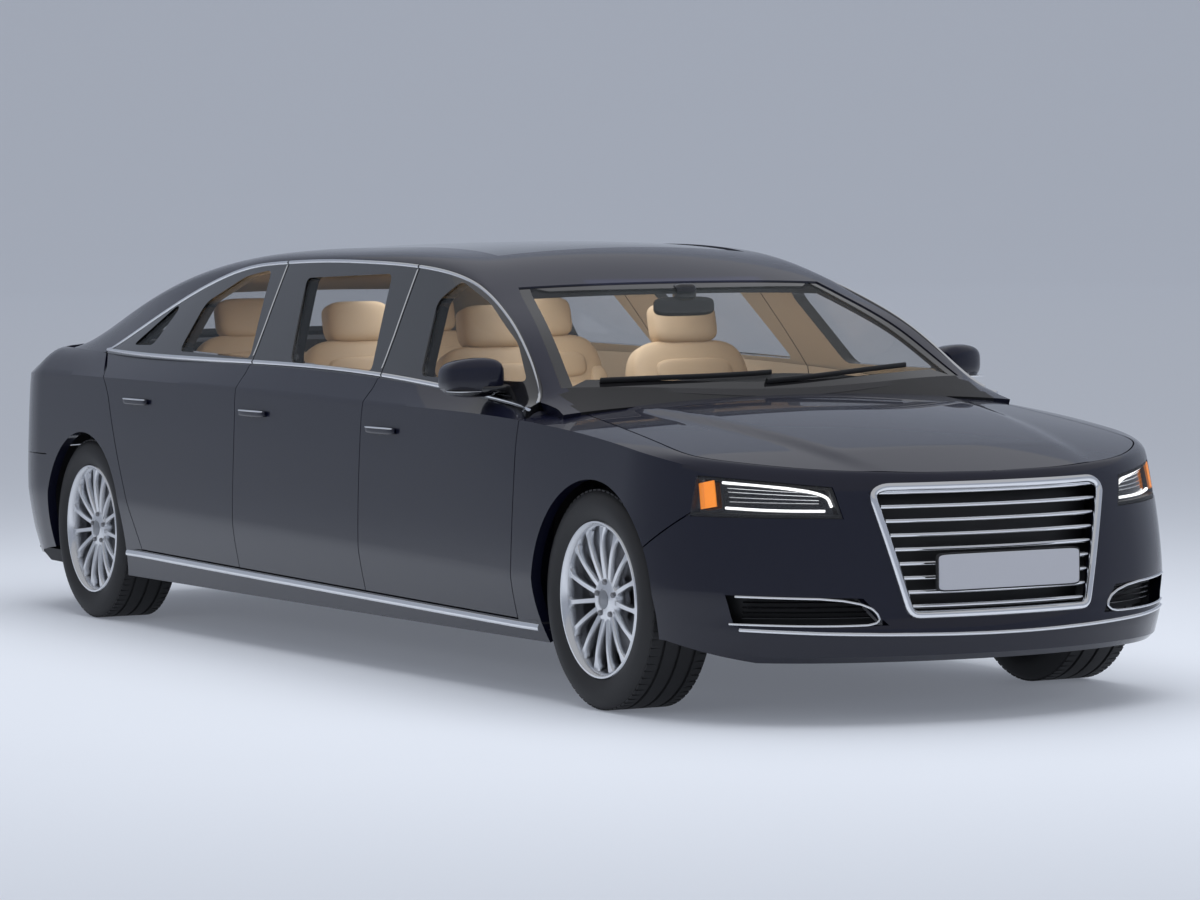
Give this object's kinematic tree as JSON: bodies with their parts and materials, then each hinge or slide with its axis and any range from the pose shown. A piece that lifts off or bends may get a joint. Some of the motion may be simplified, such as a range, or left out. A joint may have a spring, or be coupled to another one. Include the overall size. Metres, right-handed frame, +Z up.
{
  "type": "six-door stretch limousine",
  "caption": "Long saloon car with side-hinged doors, an opening hood and trunk lid, steered front wheels, rolling wheels, a glazed cabin with rows of seats and a slatted grille.",
  "frame": {"origin": "on the ground under the middle of the car", "axes": "+X to the front of the car, +Y to its left, +Z up"},
  "size_m": [6.36, 2.11, 1.4859],
  "materials": {
    "paint": "metallic gloss",
    "glass": "clear",
    "lens": "clear",
    "lamp": "bright",
    "tail": "gloss",
    "chrome": "bright",
    "black": "matt",
    "alloy": "bright lacquer",
    "tyre": "matt",
    "iron": "rough",
    "floor": "satin",
    "trim": "satin",
    "leather": "satin"
  },
  "bodies": {
    "car": {"body_side_left": "paint", "body_side_right": "paint", "dashboard": "trim", "engine_block": "iron", "fender_left": "paint", "fender_right": "paint", "fixed_glass": "glass", "floor_pan": "floor", "front_arms": "iron", "front_bumper": "paint", "grille": "chrome", "headlamp_lenses": "lens", "headlamps": "lamp", "intakes": "black", "rear_bumper": "paint", "rear_hubs": "iron", "roof_panel": "paint", "seats": "leather", "tail_lamps": "tail"},
    "hood": {"hood": "paint"},
    "trunk_lid": {"trunk_lid": "paint"},
    "steering_wheel": {"steering_wheel": "trim"},
    "door_front_right": {"door_front_right": "paint", "glass_front_right": "glass", "mirror_right": "paint"},
    "door_middle_right": {"door_middle_right": "paint", "glass_middle_right": "glass"},
    "door_rear_right": {"door_rear_right": "paint", "glass_rear_right": "glass"},
    "knuckle_right": {"knuckle_right": "iron"},
    "wheel_front_right": {"tyre_front_right": "tyre", "rim_front_right": "alloy"},
    "wheel_rear_right": {"tyre_rear_right": "tyre", "rim_rear_right": "alloy"},
    "door_front_left": {"door_front_left": "paint", "glass_front_left": "glass", "mirror_left": "paint"},
    "door_middle_left": {"door_middle_left": "paint", "glass_middle_left": "glass"},
    "door_rear_left": {"door_rear_left": "paint", "glass_rear_left": "glass"},
    "knuckle_left": {"knuckle_left": "iron"},
    "wheel_front_left": {"tyre_front_left": "tyre", "rim_front_left": "alloy"},
    "wheel_rear_left": {"tyre_rear_left": "tyre", "rim_rear_left": "alloy"}
  },
  "joints": [
    {"name": "door_front_right_hinge", "type": "hinge", "parent": "car", "child": "door_front_right", "pos_m": [1.69, -0.976, 0.6], "axis": [0, 0, 1], "range_deg": [0, 65]},
    {"name": "door_middle_right_hinge", "type": "hinge", "parent": "car", "child": "door_middle_right", "pos_m": [0.522, -0.976, 0.6], "axis": [0, 0, 1], "range_deg": [0, 65]},
    {"name": "door_rear_right_hinge", "type": "hinge", "parent": "car", "child": "door_rear_right", "pos_m": [-0.553, -0.976, 0.6], "axis": [0, 0, 1], "range_deg": [0, 65]},
    {"name": "door_front_left_hinge", "type": "hinge", "parent": "car", "child": "door_front_left", "pos_m": [1.69, 0.976, 0.6], "axis": [0, 0, -1], "range_deg": [0, 65]},
    {"name": "door_middle_left_hinge", "type": "hinge", "parent": "car", "child": "door_middle_left", "pos_m": [0.522, 0.976, 0.6], "axis": [0, 0, -1], "range_deg": [0, 65]},
    {"name": "door_rear_left_hinge", "type": "hinge", "parent": "car", "child": "door_rear_left", "pos_m": [-0.553, 0.976, 0.6], "axis": [0, 0, -1], "range_deg": [0, 65]},
    {"name": "hood_hinge", "type": "hinge", "parent": "car", "child": "hood", "pos_m": [1.694, 0, 1.012], "axis": [0, -1, 0], "range_deg": [0, 50]},
    {"name": "trunk_hinge", "type": "hinge", "parent": "car", "child": "trunk_lid", "pos_m": [-2.56, 0, 1.118], "axis": [0, 1, 0], "range_deg": [0, 75]},
    {"name": "steer_left", "type": "hinge", "parent": "car", "child": "knuckle_left", "pos_m": [2.195, 0.765, 0.356], "axis": [0, 0, 1], "range_deg": [-33, 33]},
    {"name": "steer_right", "type": "hinge", "parent": "car", "child": "knuckle_right", "pos_m": [2.195, -0.765, 0.356], "axis": [0, 0, 1], "range_deg": [-33, 33]},
    {"name": "steering_column", "type": "hinge", "parent": "car", "child": "steering_wheel", "pos_m": [1.17, 0.39, 0.815], "axis": [-0.9135, 0, 0.4067], "range_deg": [-430, 430]},
    {"name": "wheel_front_left_spin", "type": "hinge", "parent": "knuckle_left", "child": "wheel_front_left", "pos_m": [2.195, 0.815, 0.356], "axis": [0, 1, 0], "continuous": true},
    {"name": "wheel_rear_left_spin", "type": "hinge", "parent": "car", "child": "wheel_rear_left", "pos_m": [-2.025, 0.815, 0.356], "axis": [0, 1, 0], "continuous": true},
    {"name": "wheel_front_right_spin", "type": "hinge", "parent": "knuckle_right", "child": "wheel_front_right", "pos_m": [2.195, -0.815, 0.356], "axis": [0, 1, 0], "continuous": true},
    {"name": "wheel_rear_right_spin", "type": "hinge", "parent": "car", "child": "wheel_rear_right", "pos_m": [-2.025, -0.815, 0.356], "axis": [0, 1, 0], "continuous": true}
  ],
  "couplings": [
    {"joint": "steer_right", "follows": "steer_left", "ratio": 1},
    {"joint": "steering_column", "follows": "steer_left", "ratio": 13}
  ]
}
